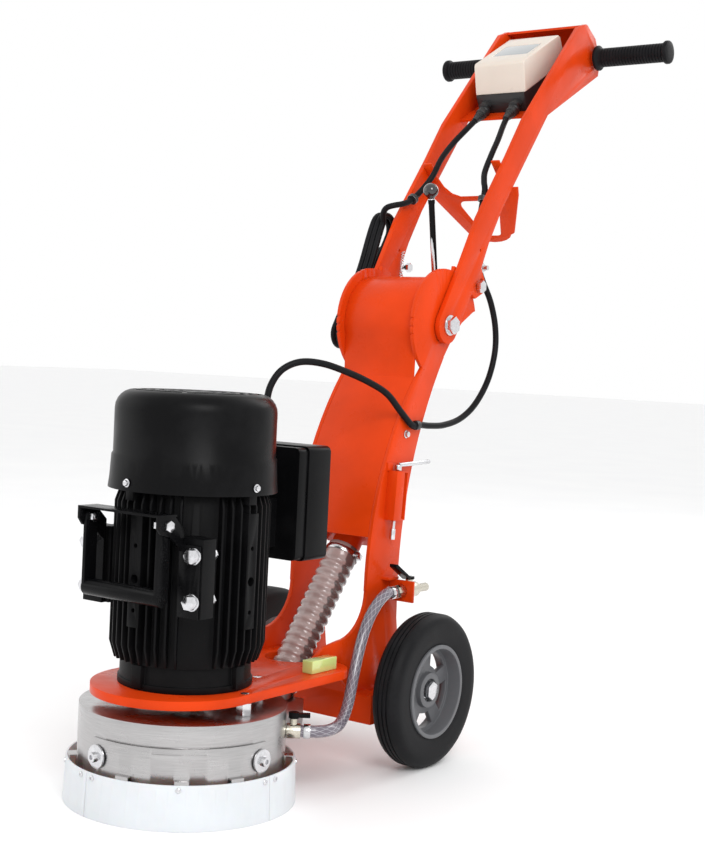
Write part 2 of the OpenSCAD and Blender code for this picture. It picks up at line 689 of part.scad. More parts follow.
module holder_frame() translate([plate_out, 375, 394]) rotate([-4, 0, 0]) children();
module tool_holder() color(orange) machine() holder_frame() {
    difference() {
        translate([0.1, -22, -37]) cube([17, 44, 74]);
        translate([2, -19.5, -35]) cube([12.8, 39, 70]);
        translate([8, -2, -40]) cube([12, 30, 90]);
        translate([8, -8, 0]) cylinder(r = 4.5, h = 90, center = true);
    }
}
module tool_key() color(steel) machine() holder_frame() {
    translate([8, -8, -64]) cylinder(r = 3.4, h = 108, $fn = 6);
    translate([8, -8, -66]) cylinder(r = 4.2, h = 16);
    translate([8, -8, 38]) cylinder(r = 5.2, h = 8);
    translate([8, -8, 46]) rotate([-84, 0, 0]) cylinder(r = 3.4, h = 84);
}

// ---- handle -------------------------------------------------------------

head_top = [894, 1208];
bar_y = 936;
bar_z = 1155;
rod_slot = 24;
module arm_profile() {
    polygon(concat(arc(pivot_y - 2, pivot_z - 2, 27, 152, 332, 12),
        [[554, 709], [566, 702], [588, 712], [592, 734], [580, 752], [600, 794], [636, 852],
        [677, 905], [775, 1028], [955, 1127], [handle_rear, 1136], [950, 1170], [938, 1190]],
        arc(head_top[0] + 6, head_top[1] - 14, 14, 50, 130, 4),
        [[871, 1197], [780, 1099], [696, 1009], [646, 939], [615, 899], [564, 832],
        [517, 750]]));
}
module handle_arms() color(orange) machine() mirrored() difference() {
    side_slab(arm_in, arm_t) arm_profile();
    x_rod(pivot_y, pivot_z, 8, arm_in - 1, arm_out + 1);
    side_slab(arm_in - 1, arm_t + 2) translate([rod_y, rod_z]) rotate(rod_angle) hull() {
        circle(r = latch_r + 0.3, $fn = 32);
        translate([rod_slot / 2, 0]) circle(r = latch_r + 0.3, $fn = 32);
    }
    x_rod(bar_y, bar_z, 13.05, arm_in - 1, arm_out + 1);
    x_rod(600, 754, 4, arm_in - 1, arm_out + 1);
    x_rod(574, 780, 2.5, arm_in - 1, arm_out + 1);
}
tray = [743, 1023];
tray_angle = 29.5;
tray_half = arm_in - gap;
module on_tray() translate([0, tray[0], tray[1]]) rotate([tray_angle, 0, 0]) children();
module head_panel() color(orange) machine() {
    on_tray() translate([-tray_half, 0, -4]) cube([2 * tray_half, 236, 4]);
    side_slab(-tray_half, 2 * tray_half) polygon([[946, 1133.5], [handle_rear, 1136],
        [953, 1156], [950, 1170], [938, 1190], [912, 1204], [893, 1206], [893, 1202],
        [911, 1200], [935, 1186.5], [947, 1168], [949.6, 1155], [952, 1140], [946, 1137]]);
}
module handlebar() color(orange) machine()
    x_tube(bar_y, bar_z, 13, 10.5, -grip_end + 4, grip_end - 4);
grip_r = 16.5;
module grips() color(black) machine() mirrored() translate([0, bar_y, bar_z]) rotate([0, 90, 0])
    difference() {
        union() {
            translate([0, 0, 88]) cylinder(r = 22, h = 6);
            translate([0, 0, 88]) cylinder(r = grip_r, h = grip_end - 88);
            translate([0, 0, grip_end - 8]) cylinder(r = 20, h = 6);
        }
        translate([0, 0, 80]) cylinder(r = 13.05, h = grip_end - 84);
    }

brace_slope = 42.8;
brace_at = [640, 925];
module brace_plate() color(orange) machine()
    translate([0, brace_at[0], brace_at[1]]) rotate([-brace_slope, 0, 0])
        linear_extrude(4, center = true) difference() {
            polygon(concat([[-arm_in + gap, -10], [-58, -10], [-58, 22], [-54, 42], [-44, 57],
                [-30, 64], [30, 64], [44, 57], [54, 42], [58, 22], [58, -10],
                [arm_in - gap, -10], [arm_in - gap, 47], [88, 47], [83, 64], [45, 146]],
                [for (a = [-10 : -20 : -170]) [38 * cos(a), 146 - 20 * sin(a)]],
                [[-45, 146], [-83, 64], [-88, 47], [-arm_in + gap, 47]]));
            hull() {
                for (s = [-1, 1]) {
                    translate([24 * s, 86]) circle(r = 13, $fn = 32);
                    translate([8 * s, 142]) circle(r = 11, $fn = 32);
                }
            }
        }

// Switch: local u runs up the tray, v stands off it.
switch_half = 49;
button_u = 111;
button_x = 15;
module switch_base() color(black) machine() on_tray() {
    translate([-switch_half + 2, 26, 0.1]) difference() {
        cube([2 * switch_half - 4, 158, 32.4]);
        translate([4, 4, 4]) cube([2 * switch_half - 12, 150, 40]);
    }
    // Contact block that guides the two push buttons.
    difference() {
        translate([-30, button_u - 20, 3]) cube([60, 40, 59]);
        for (x = [-button_x, button_x]) translate([x, button_u, 46]) cylinder(r = 5.05, h = 20);
    }
    for (x = [-29.7, 29.7]) translate([x, 26, 15]) rotate([90, 0, 0]) {
        cylinder(r = 10, h = 6, $fn = 6);
        cylinder(r = 8.5, h = 15);
    }
}
window_u = [84, 138];
window_half = 34;
window_hinge = [136.4, 81.6];
module switch_cover() color("linen") machine() on_tray() difference() {
    side_slab(-switch_half, 2 * switch_half)
        polygon([[28, 32.7], [42, 80], [47, 83.2], [180, 83.2], [186, 78], [188, 32.7]]);
    side_slab(-switch_half + 3, 2 * switch_half - 6)
        polygon([[31, 31], [46, 79.2], [179, 79.2], [185, 31]]);
    translate([-window_half, window_u[0], 75]) cube([2 * window_half, window_u[1] - window_u[0], 20]);
}
module switch_window() color([0.8, 0.8, 0.8]) machine() on_tray() {
    translate([-window_half + 0.6, window_u[0] + 0.6, 80.6])
        cube([2 * window_half - 1.2, window_hinge[0] - window_u[0] - 0.6, 2]);
    x_rod(window_hinge[0], window_hinge[1], 1, -window_half + 0.6, window_half - 0.6);
}
module push_button(x) on_tray() translate([x, button_u, 0]) {
    translate([0, 0, 66]) cylinder(r = 10, h = 10);
    translate([0, 0, 50]) cylinder(r = 5, h = 17);
}
module start_button() color("seagreen") machine() push_button(button_x);
module stop_button() color("firebrick") machine() push_button(-button_x);

lead_r = 5;
// Motor lead, from the switch down the right arm, round the pivot to the motor.
gland_right = [29.7, 738.5, 1028.5];
upper_route = [gland_right, [30, 727, 1020], [35, 706, 1001], [43, 678, 974], [48, 650, 944],
    [50, 629, 914], [57, 616, 896], [64, 608, 880], [64, 601, 852], [62, 597, 818]];
loop_route = [[62, 597, 818], [60, 597, 790], [61, 601, 763], [67, 612, 733], [76, 625, 700],
    [82, 634, 660], [86, 630, 618], [87, 610, 572], [86, 575, 533], [84, 535, 510],
    [82, 490, 500], [80, 452, 499], [79, 432, 500], [79, 416.8, 500]];
lower_route = [[79, 416, 500], [79, 402, 500.5], [76, 376, 520], [70, 346, 546], [60, 314, 562],
    [46, 276, 576], [28, 238, 587], [10, 208, 588], [-5, 186, 576], [-13, 172, 554],
    [-15, 166, 528], [-15, 166, 500], [-15, 166, box_z[1] + 21]];
module motor_lead_upper() color(black) machine() tube(smooth(upper_route, 3), lead_r, 10);
module motor_lead_loop() color(black) machine() tube(smooth(loop_route, 3), lead_r, 10);
module motor_lead_lower() color(black) machine() tube(smooth(lower_route, 3), lead_r, 10);

// Mains lead, clipped to the left arm and hanked on its outer side.
gland_left = [-29.7, 738.5, 1028.5];
mains_route = [gland_left, [-30, 727, 1020], [-35, 705, 1000], [-44, 675, 970],
    [-48, 648, 941], [-50, 628, 911], [-58, 614, 889], [-64, 600, 873], [-65, 584, 863],
    [-69, 569, 857], [-77, 555, 853], [-87, 550, 849], [-95, 552, 841], [-99, 558, 827]];
hank_top = [-109, 579, 819];
hank_angle = 62.4;
hank_run = 204;
hank_half = 27;
hank_w = 30;
module mains_lead() color(black) machine() tube(smooth(mains_route, 3), lead_r, 10);
module on_hank() translate(hank_top) rotate([hank_angle - 180, 0, 0]) children();
module mains_hank() color(black) machine() on_hank()
    translate([-hank_w / 2, 0, 0]) rotate([90, 0, 90]) linear_extrude(hank_w) hull() {
        circle(r = hank_half, $fn = 32);
        translate([hank_run, 0]) circle(r = hank_half, $fn = 32);
    }
// The plug hangs beside the hank, with its cord tucked into the turns.
plug_at = [0, 44, 43.5];
module mains_plug() color(black) machine() on_hank() translate(plug_at)
    rotate([-90, 0, 0]) {
        cylinder(r = 13, h = 40);
        translate([0, 0, -22]) cylinder(r1 = 6, r2 = 9, h = 22);
        translate([0, 0, 40]) cylinder(r = 18 - 2, h = 12);
        bar([0, 0, -18], [0, 20.5, -34], lead_r);
    }

module handle_fittings() color(steel) machine() {
    mirrored() {
        // Pivot bolt, its thrust washer and its head.
        x_rod(pivot_y, pivot_z, 8, plate_in - 12, arm_out + 11.6);
        x_rod(pivot_y, pivot_z, 10, plate_in - 1, arm_in - 0.1);
        x_tube(pivot_y, pivot_z, 16, 8.05, arm_out + 0.1, arm_out + 2.6);
        translate([arm_out + 2.7, pivot_y, pivot_z]) rotate([0, 90, 0]) difference() {
            hexagon(24, 9);
            translate([0, 0, -1]) cylinder(r = 8, h = 12);
        }
        translate([plate_in - 12, pivot_y, pivot_z]) rotate([0, 90, 0]) difference() {
            hexagon(24, 10.5);
            translate([0, 0, -1]) cylinder(r = 8, h = 12);
        }
        // Stop bolt of the latch.
        x_rod(600, 754, 3.9, arm_in - 5.9, arm_out + 0.5);
        translate([arm_in - 6, 600, 754]) rotate([0, 90, 0]) hexagon(14, 5.9);
    }
    // Clips that hold the two leads on the arms.
    color(black) translate([64.4, 603.4, 862]) rotate([-14, 0, 0]) ring(8.8, 6, 8);
    color(black) translate([-64.4, 588.8, 865.6]) rotate([-58, 0, 0]) ring(8.8, 6, 7);
    // Peg that the hank hangs from.
    color(black) x_rod(585, 813, 5, hank_top[0] + hank_w / 2, -arm_out);
}
module latch_springs() color(steel) machine() mirrored()
    bar([arm_in - 6, rod_y - 1, rod_z + 11], [arm_in - 6, 576, 778], 3.4);
module latch_rod() color(steel) machine() {
    x_rod(rod_y, rod_z, latch_r, -arm_out - 8, arm_out + 8);
    mirrored() translate([arm_out + 2, rod_y, rod_z]) rotate([0, 90, 0]) difference() {
        hexagon(17, 8);
        translate([0, 0, -1]) cylinder(r = latch_r, h = 8);
    }
    color(black) bar([0, rod_y - 1, rod_z + 4], lever_tip, 4.6);
}
lever_tip = [0, 548, 864];
knob_r = 12.5;
module lever_knob() color(black) machine() difference() {
    translate([0, 546, 874]) sphere(r = knob_r);
    bar([0, rod_y - 1, rod_z + 4], lever_tip, 4.65);
}

side_plates();
column_skin();
bulkhead();
axle_carrier();
axle();
deck_plate();
motor_bell();
motor_frame();
fan_cowl();
stator();
motor_bearings();
shroud();
standoff_bolts();
rear_skirt();
dust_hose();
hose_clamps();
water_fitting();
water_hose();
ball_valve();
bubble_level();
terminal_box();
terminal_lid();
lift_bracket();
frame_bolts();
tool_holder();
motor_lead_lower();
lift_bail();
tool_key();
valve_lever();
drain_lever();
edge_door();
front_skirt();
guard_bolts();
rotor();
cooling_fan();
disc_hub();
grinding_disc();
tyre_left();
rim_left();
tyre_right();
rim_right();
handle_arms();
head_panel();
handlebar();
grips();
brace_plate();
switch_base();
switch_cover();
switch_window();
start_button();
stop_button();
motor_lead_upper();
motor_lead_loop();
mains_lead();
mains_hank();
mains_plug();
handle_fittings();
latch_springs();
latch_rod();
lever_knob();
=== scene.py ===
"""Builds the look of a walk-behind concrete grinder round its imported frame."""
import json
import math

import bpy
from mathutils import Matrix, Vector

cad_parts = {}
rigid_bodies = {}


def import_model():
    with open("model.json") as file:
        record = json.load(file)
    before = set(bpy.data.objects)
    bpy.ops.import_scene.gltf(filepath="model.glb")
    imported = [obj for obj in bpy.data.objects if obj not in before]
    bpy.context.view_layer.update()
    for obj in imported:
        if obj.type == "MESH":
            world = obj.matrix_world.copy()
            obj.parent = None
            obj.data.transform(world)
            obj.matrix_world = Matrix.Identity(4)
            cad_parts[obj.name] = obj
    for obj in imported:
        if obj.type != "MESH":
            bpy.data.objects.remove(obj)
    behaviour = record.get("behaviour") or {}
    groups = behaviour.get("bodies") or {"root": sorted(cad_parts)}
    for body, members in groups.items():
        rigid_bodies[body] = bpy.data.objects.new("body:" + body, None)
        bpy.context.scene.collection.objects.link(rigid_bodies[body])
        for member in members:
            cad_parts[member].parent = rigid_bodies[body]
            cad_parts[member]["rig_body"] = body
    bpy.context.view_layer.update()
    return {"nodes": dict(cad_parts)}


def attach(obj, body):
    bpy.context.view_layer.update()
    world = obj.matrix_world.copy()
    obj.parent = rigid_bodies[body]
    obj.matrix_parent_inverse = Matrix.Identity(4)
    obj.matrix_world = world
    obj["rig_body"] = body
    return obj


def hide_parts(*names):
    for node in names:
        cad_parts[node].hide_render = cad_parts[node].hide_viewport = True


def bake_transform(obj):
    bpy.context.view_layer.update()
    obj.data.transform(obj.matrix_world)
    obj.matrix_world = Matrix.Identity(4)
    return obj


bl_info = {
    "name": "Concrete Grinder",
    "version": (1, 0, 0),
    "blender": (4, 5, 0),
    "location": "View3D > Sidebar > Grinder",
    "description": "Models and finishes a walk-behind concrete grinder",
    "category": "Object",
}

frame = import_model()
NODES = frame["nodes"]
MM = 0.001
BACK = -401 * MM  # where the grinding head's axis stands, along Y

# Routes in millimetres, as the part's source gives them, with y from the head.
GLAND_RIGHT = (29.7, 738.5, 1028.5)
UPPER_LEAD = [GLAND_RIGHT, (30, 727, 1020), (35, 706, 1001), (43, 678, 974), (48, 650, 944),
              (50, 629, 914), (57, 616, 896), (64, 608, 880), (64, 601, 852), (62, 597, 818)]
LEAD_LOOP = [(62, 597, 818), (60, 597, 790), (61, 601, 763), (67, 612, 733), (76, 625, 700),
             (82, 634, 660), (86, 630, 618), (87, 610, 572), (86, 575, 533), (84, 535, 510),
             (82, 490, 500), (80, 452, 499), (79, 432, 500), (79, 416.8, 500)]
LOWER_LEAD = [(79, 416, 500), (79, 402, 500.5), (76, 376, 520), (70, 346, 546), (60, 314, 562),
              (46, 276, 576), (28, 238, 587), (10, 208, 588), (-5, 186, 576), (-13, 172, 554),
              (-15, 166, 528), (-15, 166, 500), (-15, 166, 488)]
MAINS_LEAD = [(-29.7, 738.5, 1028.5), (-30, 727, 1020), (-35, 705, 1000), (-44, 675, 970),
              (-48, 648, 941), (-50, 628, 911), (-58, 614, 889), (-64, 600, 873),
              (-65, 584, 863), (-69, 569, 857), (-77, 555, 853), (-87, 550, 849),
              (-95, 552, 841), (-99, 558, 827)]
WATER_HOSE = [(126, 95, 94), (142, 107, 94), (150, 126, 94), (144, 156, 94), (130, 188, 98),
              (116, 218, 112), (106, 240, 136), (101, 256, 166), (98, 272, 196),
              (96, 291, 222), (96, 312, 242), (96, 332, 252), (96, 351, 252)]
HANK_TOP = (-109, 579, 819)
HANK_TURN = math.radians(62.4)
HANK_RUN = 204
HOSE_LOW = (0, 204, 112)
HOSE_TOP = (0, 353, 306.6)
AXLE = (0, 363, 113.5)


# ---- places ---------------------------------------------------------------

def at(x, y, z):
    """A point given in millimetres from the grinding head's axis."""
    return Vector((x * MM, y * MM + BACK, z * MM))


def smooth_route(points, steps=8):
    """Catmull-Rom points through a route."""
    p = [Vector(q) for q in points]
    out = []
    for i in range(len(p) - 1):
        a, b, c, d = p[max(i - 1, 0)], p[i], p[i + 1], p[min(i + 2, len(p) - 1)]
        for k in range(steps):
            u = k / steps
            out.append(0.5 * (2 * b + (c - a) * u + (2 * a - 5 * b + 4 * c - d) * u * u
                              + (3 * b - a - 3 * c + d) * u ** 3))
    return [at(*q) for q in out + [p[-1]]]


def round_head(angle, radius, z):
    """A point round the grinding head: 0 is the front, 90 is +X."""
    a = math.radians(angle)
    return at(radius * math.sin(a), -radius * math.cos(a), z)


def outward(angle):
    a = math.radians(angle)
    return Vector((math.sin(a), -math.cos(a), 0))


def on_hank(x, a, b):
    c, s = math.cos(HANK_TURN), math.sin(HANK_TURN)
    return at(HANK_TOP[0] + x, HANK_TOP[1] - a * c + b * s, HANK_TOP[2] - a * s - b * c)


# ---- modelling ------------------------------------------------------------

def object_mode():
    if bpy.context.object and bpy.context.object.mode != "OBJECT":
        bpy.ops.object.mode_set(mode="OBJECT")


def clear_selection():
    object_mode()
    bpy.ops.object.select_all(action="DESELECT")


def only(piece):
    clear_selection()
    piece.select_set(True)
    bpy.context.view_layer.objects.active = piece
    return piece


def edit(piece):
    only(piece)
    bpy.ops.object.mode_set(mode="EDIT")
    bpy.ops.mesh.select_all(action="SELECT")


def place(piece):
    """Puts a piece's place into its mesh."""
    only(piece)
    bpy.ops.object.transform_apply(location=True, rotation=True, scale=True)
    return piece


def recalculated(piece):
    edit(piece)
    bpy.ops.mesh.remove_doubles(threshold=1e-6)
    bpy.ops.mesh.normals_make_consistent(inside=False)
    bpy.ops.object.mode_set(mode="OBJECT")
    return piece


def smooth(piece, angle=35):
    only(piece)
    bpy.ops.object.shade_smooth_by_angle(angle=math.radians(angle))
    return piece


def finish(piece, name, body, material, replaced=()):
    """Names a finished piece, gives it its finish and lets it ride on its body."""
    piece.name = name
    piece.data.name = name
    piece.data.materials.clear()
    piece.data.materials.append(material)
    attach(piece, body)
    if replaced:
        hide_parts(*replaced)
    return piece


def aimed(direction):
    return Vector(direction).normalized().to_track_quat("Z", "Y").to_matrix().to_4x4()


def turned(profile, origin, direction, sides=48, closed=False):
    """Turns a profile of (radius, height) pairs, in millimetres, about an axis."""
    clear_selection()
    start = profile[0]
    bpy.ops.mesh.primitive_circle_add(vertices=sides, radius=max(start[0], 1e-3) * MM,
                                      location=(0, 0, start[1] * MM))
    piece = place(bpy.context.object)
    edit(piece)
    if not closed:
        bpy.ops.mesh.edge_face_add()
        bpy.ops.mesh.select_all(action="SELECT")
    before = start
    for step in profile[1:]:
        bpy.ops.mesh.extrude_region_move(
            TRANSFORM_OT_translate={"value": (0, 0, (step[1] - before[1]) * MM)})
        scale = max(step[0], 1e-3) / max(before[0], 1e-3)
        bpy.ops.transform.resize(value=(scale, scale, 1),
                                 center_override=(0, 0, step[1] * MM))
        before = step
    bpy.ops.object.mode_set(mode="OBJECT")
    piece.matrix_world = Matrix.Translation(origin) @ aimed(direction)
    place(piece)
    return recalculated(piece)


def joined(pieces):
    clear_selection()
    for piece in pieces:
        piece.select_set(True)
    bpy.context.view_layer.objects.active = pieces[0]
    if len(pieces) > 1:
        bpy.ops.object.join()
    return pieces[0]


def modified(piece, kind, **settings):
    only(piece)
    modifier = piece.modifiers.new(kind.title(), kind)
    for name, value in settings.items():
        setattr(modifier, name, value)
    bpy.ops.object.modifier_apply(modifier=modifier.name)
    return piece


def softened(node, material, width=0.8, segments=2, angle=38):
    """A copy of a CAD node with its edges rounded, standing for the node."""
    source = NODES[node]
    piece = source.copy()
    piece.data = source.data.copy()
    piece.parent = None
    for key in list(piece.keys()):
        del piece[key]
    bpy.context.scene.collection.objects.link(piece)
    piece.hide_render = piece.hide_viewport = False
    edit(piece)
    bpy.ops.mesh.customdata_custom_splitnormals_clear()
    bpy.ops.mesh.remove_doubles(threshold=2e-6)
    bpy.ops.mesh.dissolve_limited(angle_limit=math.radians(1.0))
    bpy.ops.object.mode_set(mode="OBJECT")
    modified(piece, "BEVEL", width=width * MM, segments=segments, limit_method="ANGLE",
             angle_limit=math.radians(angle), use_clamp_overlap=True,
             miter_outer="MITER_ARC")
    smooth(piece, 40)
    return finish(piece, "soft_" + node, source["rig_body"], material, (node,))


def tube(name, points, radius, body, material, replaced=(), sides=5):
    """A curve with round section along points in metres."""
    curve = bpy.data.curves.new(name, "CURVE")
    curve.dimensions = "3D"
    spline = curve.splines.new("POLY")
    spline.points.add(len(points) - 1)
    for point, place_ in zip(spline.points, points):
        point.co = (*place_, 1)
    curve.bevel_depth = radius * MM
    curve.bevel_resolution = sides
    curve.use_fill_caps = True
    piece = bpy.data.objects.new(name, curve)
    bpy.context.scene.collection.objects.link(piece)
    for s in curve.splines:
        s.use_smooth = True
    curve.materials.append(material)
    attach(piece, body)
    if replaced:
        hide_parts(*replaced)
    return piece


def as_mesh(piece):
    only(piece)
    bpy.ops.object.convert(target="MESH")
    return bpy.context.object


# ---- finishes -------------------------------------------------------------

class Value:
    """A socket that takes part in Python sums; each sum adds a Math node."""

    def __init__(self, finish_, socket):
        self.finish = finish_
        self.socket = socket

    def sum(self, operation, *others):
        return self.finish.add("ShaderNodeMath", {"operation": operation}, [self, *others])

    def __add__(self, other):
        return self.sum("ADD", other)

    def __radd__(self, other):
        return self.sum("ADD", other)

    def __sub__(self, other):
        return self.sum("SUBTRACT", other)

    def __rsub__(self, other):
        return self.finish.add("ShaderNodeMath", {"operation": "SUBTRACT"}, [other, self])

    def __mul__(self, other):
        return self.sum("MULTIPLY", other)

    def __rmul__(self, other):
        return self.sum("MULTIPLY", other)

    def __truediv__(self, other):
        return self.sum("DIVIDE", other)

    def sine(self):
        return self.sum("SINE")

    def size(self):
        return self.sum("ABSOLUTE")


class Finish:
    """A material in the making."""

    def __init__(self, name):
        self.material = bpy.data.materials.new(name)
        self.material.use_nodes = True
        self.tree = self.material.node_tree
        self.tree.nodes.clear()
        self.output = self.tree.nodes.new("ShaderNodeOutputMaterial")
        self.shader = self.tree.nodes.new("ShaderNodeBsdfPrincipled")
        self.tree.links.new(self.shader.outputs[0], self.output.inputs[0])

    def link(self, socket, value):
        if isinstance(value, Value):
            self.tree.links.new(value.socket, socket)
        elif socket.type == "RGBA" and len(value) == 3:
            socket.default_value = (*value, 1)
        else:
            socket.default_value = value

    def add(self, kind, settings, sockets, output=0):
        """Adds a node: settings first, then its sockets by name or in order."""
        node = self.tree.nodes.new(kind)
        for name, value in settings.items():
            setattr(node, name, value)
        pairs = sockets.items() if isinstance(sockets, dict) else enumerate(sockets)
        for key, value in pairs:
            self.link(node.inputs[key], value)
        return Value(self, node.outputs[output])

    def where(self, scale=(1, 1, 1), turn=(0, 0, 0), shift=(0, 0, 0)):
        """Object coordinates in metres, scaled and turned."""
        place_ = self.add("ShaderNodeTexCoord", {}, {}, "Object")
        return self.add("ShaderNodeMapping", {}, {"Vector": place_, "Scale": scale,
                                                  "Rotation": turn, "Location": shift})

    def noise(self, scale, detail=3.0, rough=0.5, vector=None):
        return self.add("ShaderNodeTexNoise", {}, {"Vector": vector or self.where(),
                        "Scale": scale, "Detail": detail, "Roughness": rough})

    def spread(self, value, low, high, to_low=0.0, to_high=1.0):
        return self.add("ShaderNodeMapRange", {"clamp": True},
                        [value, low, high, to_low, to_high])

    def mix(self, factor, a, b, blend="MIX"):
        node = self.tree.nodes.new("ShaderNodeMix")
        node.data_type = "RGBA"
        node.blend_type = blend
        self.link(node.inputs[0], factor)
        self.link(node.inputs[6], a)
        self.link(node.inputs[7], b)
        return Value(self, node.outputs[2])

    def bump(self, height, strength=0.2, distance=0.001):
        return self.add("ShaderNodeBump", {}, {"Height": height, "Strength": strength,
                                               "Distance": distance})

    def shade(self, **sockets):
        names = {"colour": "Base Color", "roughness": "Roughness", "metallic": "Metallic",
                 "coat": "Coat Weight", "coat_roughness": "Coat Roughness",
                 "normal": "Normal", "specular": "Specular IOR Level", "alpha": "Alpha",
                 "sheen": "Sheen Weight", "transmission": "Transmission Weight",
                 "subsurface": "Subsurface Weight", "ior": "IOR",
                 "anisotropic": "Anisotropic"}
        for name, value in sockets.items():
            self.link(self.shader.inputs[names[name]], value)
        return self.material


def powder_coat(name, colour, roughness=0.3):
    """Gloss powder coat with a fine orange-peel skin and faint grime."""
    f = Finish(name)
    drift = f.noise(9, 4)
    dark = tuple(c * 0.78 for c in colour)
    tint = f.mix(f.spread(drift, 0.35, 0.7), colour, dark)
    peel = f.noise(1400, 2)
    smear = f.noise(26, 5, 0.6)
    return f.shade(colour=tint, roughness=f.spread(smear, 0.3, 0.75, roughness - 0.06,
                                                   roughness + 0.14),
                   specular=0.10, coat=0.04, coat_roughness=0.16,
                   normal=f.bump(peel, 0.16, 0.0002))


def cast_black(name, colour, roughness=0.42, grain=650, strength=0.35):
    """Satin paint over a cast or pressed surface."""
    f = Finish(name)
    grit = f.noise(grain, 4, 0.6)
    dust = f.noise(18, 5, 0.6)
    grey = tuple(c * 1.8 + 0.003 for c in colour)
    tint = f.mix(f.spread(dust, 0.45, 0.8, 0.0, 0.7), colour, grey)
    return f.shade(colour=tint, roughness=f.spread(dust, 0.3, 0.8, roughness - 0.08,
                                                   roughness + 0.1), specular=0.09,
                   normal=f.bump(grit, strength, 0.0004))


def brushed(name, colour, roughness=0.28, axis="Z"):
    """Stainless sheet, brushed along one direction."""
    f = Finish(name)
    stretch = {"Z": (30, 30, 1600), "X": (1600, 30, 30), "Y": (30, 1600, 30)}[axis]
    lines = f.noise(1.0, 6, 0.7, f.where(stretch))
    cloud = f.noise(14, 3)
    darker = tuple(c * 0.72 for c in colour)
    tint = f.mix(f.spread(lines, 0.3, 0.7), colour, darker)
    return f.shade(colour=tint, metallic=1.0,
                   roughness=f.spread(cloud, 0.3, 0.7, roughness - 0.05, roughness + 0.12),
                   normal=f.bump(lines, 0.12, 0.0003))


def plated(name, colour, roughness=0.14):
    """Bright plating with faint handling marks."""
    f = Finish(name)
    marks = f.noise(240, 5, 0.65)
    tint = f.mix(f.spread(marks, 0.4, 0.8), colour, tuple(c * 0.8 for c in colour))
    return f.shade(colour=tint, metallic=1.0, roughness=f.spread(marks, 0.3, 0.8, roughness,
                                                                 roughness + 0.16),
                   normal=f.bump(marks, 0.05, 0.0002))


def rubber(name, colour, roughness=0.55, grain=420):
    """Moulded rubber, a little dusty."""
    f = Finish(name)
    grain_ = f.noise(grain, 4, 0.6)
    dust = f.noise(22, 6, 0.65)
    tint = f.mix(f.spread(dust, 0.45, 0.85, 0.0, 0.8), colour,
                 tuple(c * 1.7 + 0.004 for c in colour))
    return f.shade(colour=tint, roughness=f.spread(dust, 0.3, 0.8, roughness - 0.1,
                                                   roughness + 0.12), specular=0.09,
                   normal=f.bump(grain_, 0.25, 0.0004))


def moulded(name, colour, roughness=0.32, grain=900, strength=0.12, subsurface=0.0, coat=0.0):
    """Moulded plastic with a fine spark-eroded grain."""
    f = Finish(name)
    grain_ = f.noise(grain, 3)
    cloud = f.noise(12, 4)
    tint = f.mix(f.spread(cloud, 0.4, 0.8, 0.0, 0.6), colour, tuple(c * 0.86 for c in colour))
    return f.shade(colour=tint, roughness=f.spread(cloud, 0.3, 0.8, roughness - 0.04,
                                                   roughness + 0.08),
                   coat=coat, subsurface=subsurface, normal=f.bump(grain_, strength, 0.0003))


def ribbed_clear(name, colour):
    """Clear ribbed hose: pinkish walls with milky ribs and a dark stripe of seam."""
    f = Finish(name)
    place_ = f.add("ShaderNodeTexCoord", {}, {}, "Object")
    cloud = f.noise(60, 4)
    tint = f.mix(f.spread(cloud, 0.35, 0.7), colour, tuple(c * 0.8 for c in colour))
    split = f.add("ShaderNodeSeparateXYZ", {}, [place_])
    seam = f.spread(split, 0.0205, 0.0215)
    tint = f.mix(seam * 0.75, tint, (0.02, 0.02, 0.02))
    return f.shade(colour=tint, roughness=0.2, coat=0.6, coat_roughness=0.08,
                   alpha=f.spread(cloud, 0.2, 0.9, 0.86, 0.97), specular=0.6,
                   normal=f.bump(cloud, 0.1, 0.0005))


def braided_clear(name, colour):
    """Clear hose with a diamond braid of white thread inside."""
    f = Finish(name)
    split = f.add("ShaderNodeUVMap", {"uv_map": "braid"}, {})
    parts = f.add("ShaderNodeSeparateXYZ", {}, [split])
    round_ = parts
    along = Value(f, parts.socket.node.outputs[1])
    one = (along + round_).sine().size()
    two = (along - round_).sine().size()
    thread = f.spread(one, 0.0, 0.28, 1.0, 0.0).sum(
        "MAXIMUM", f.spread(two, 0.0, 0.28, 1.0, 0.0))
    tint = f.mix(thread * 0.6, colour, (0.62, 0.60, 0.64))
    return f.shade(colour=tint, roughness=0.22, coat=0.5, specular=0.6,
                   normal=f.bump(thread, 0.15, 0.0004))


FINISHES = {}


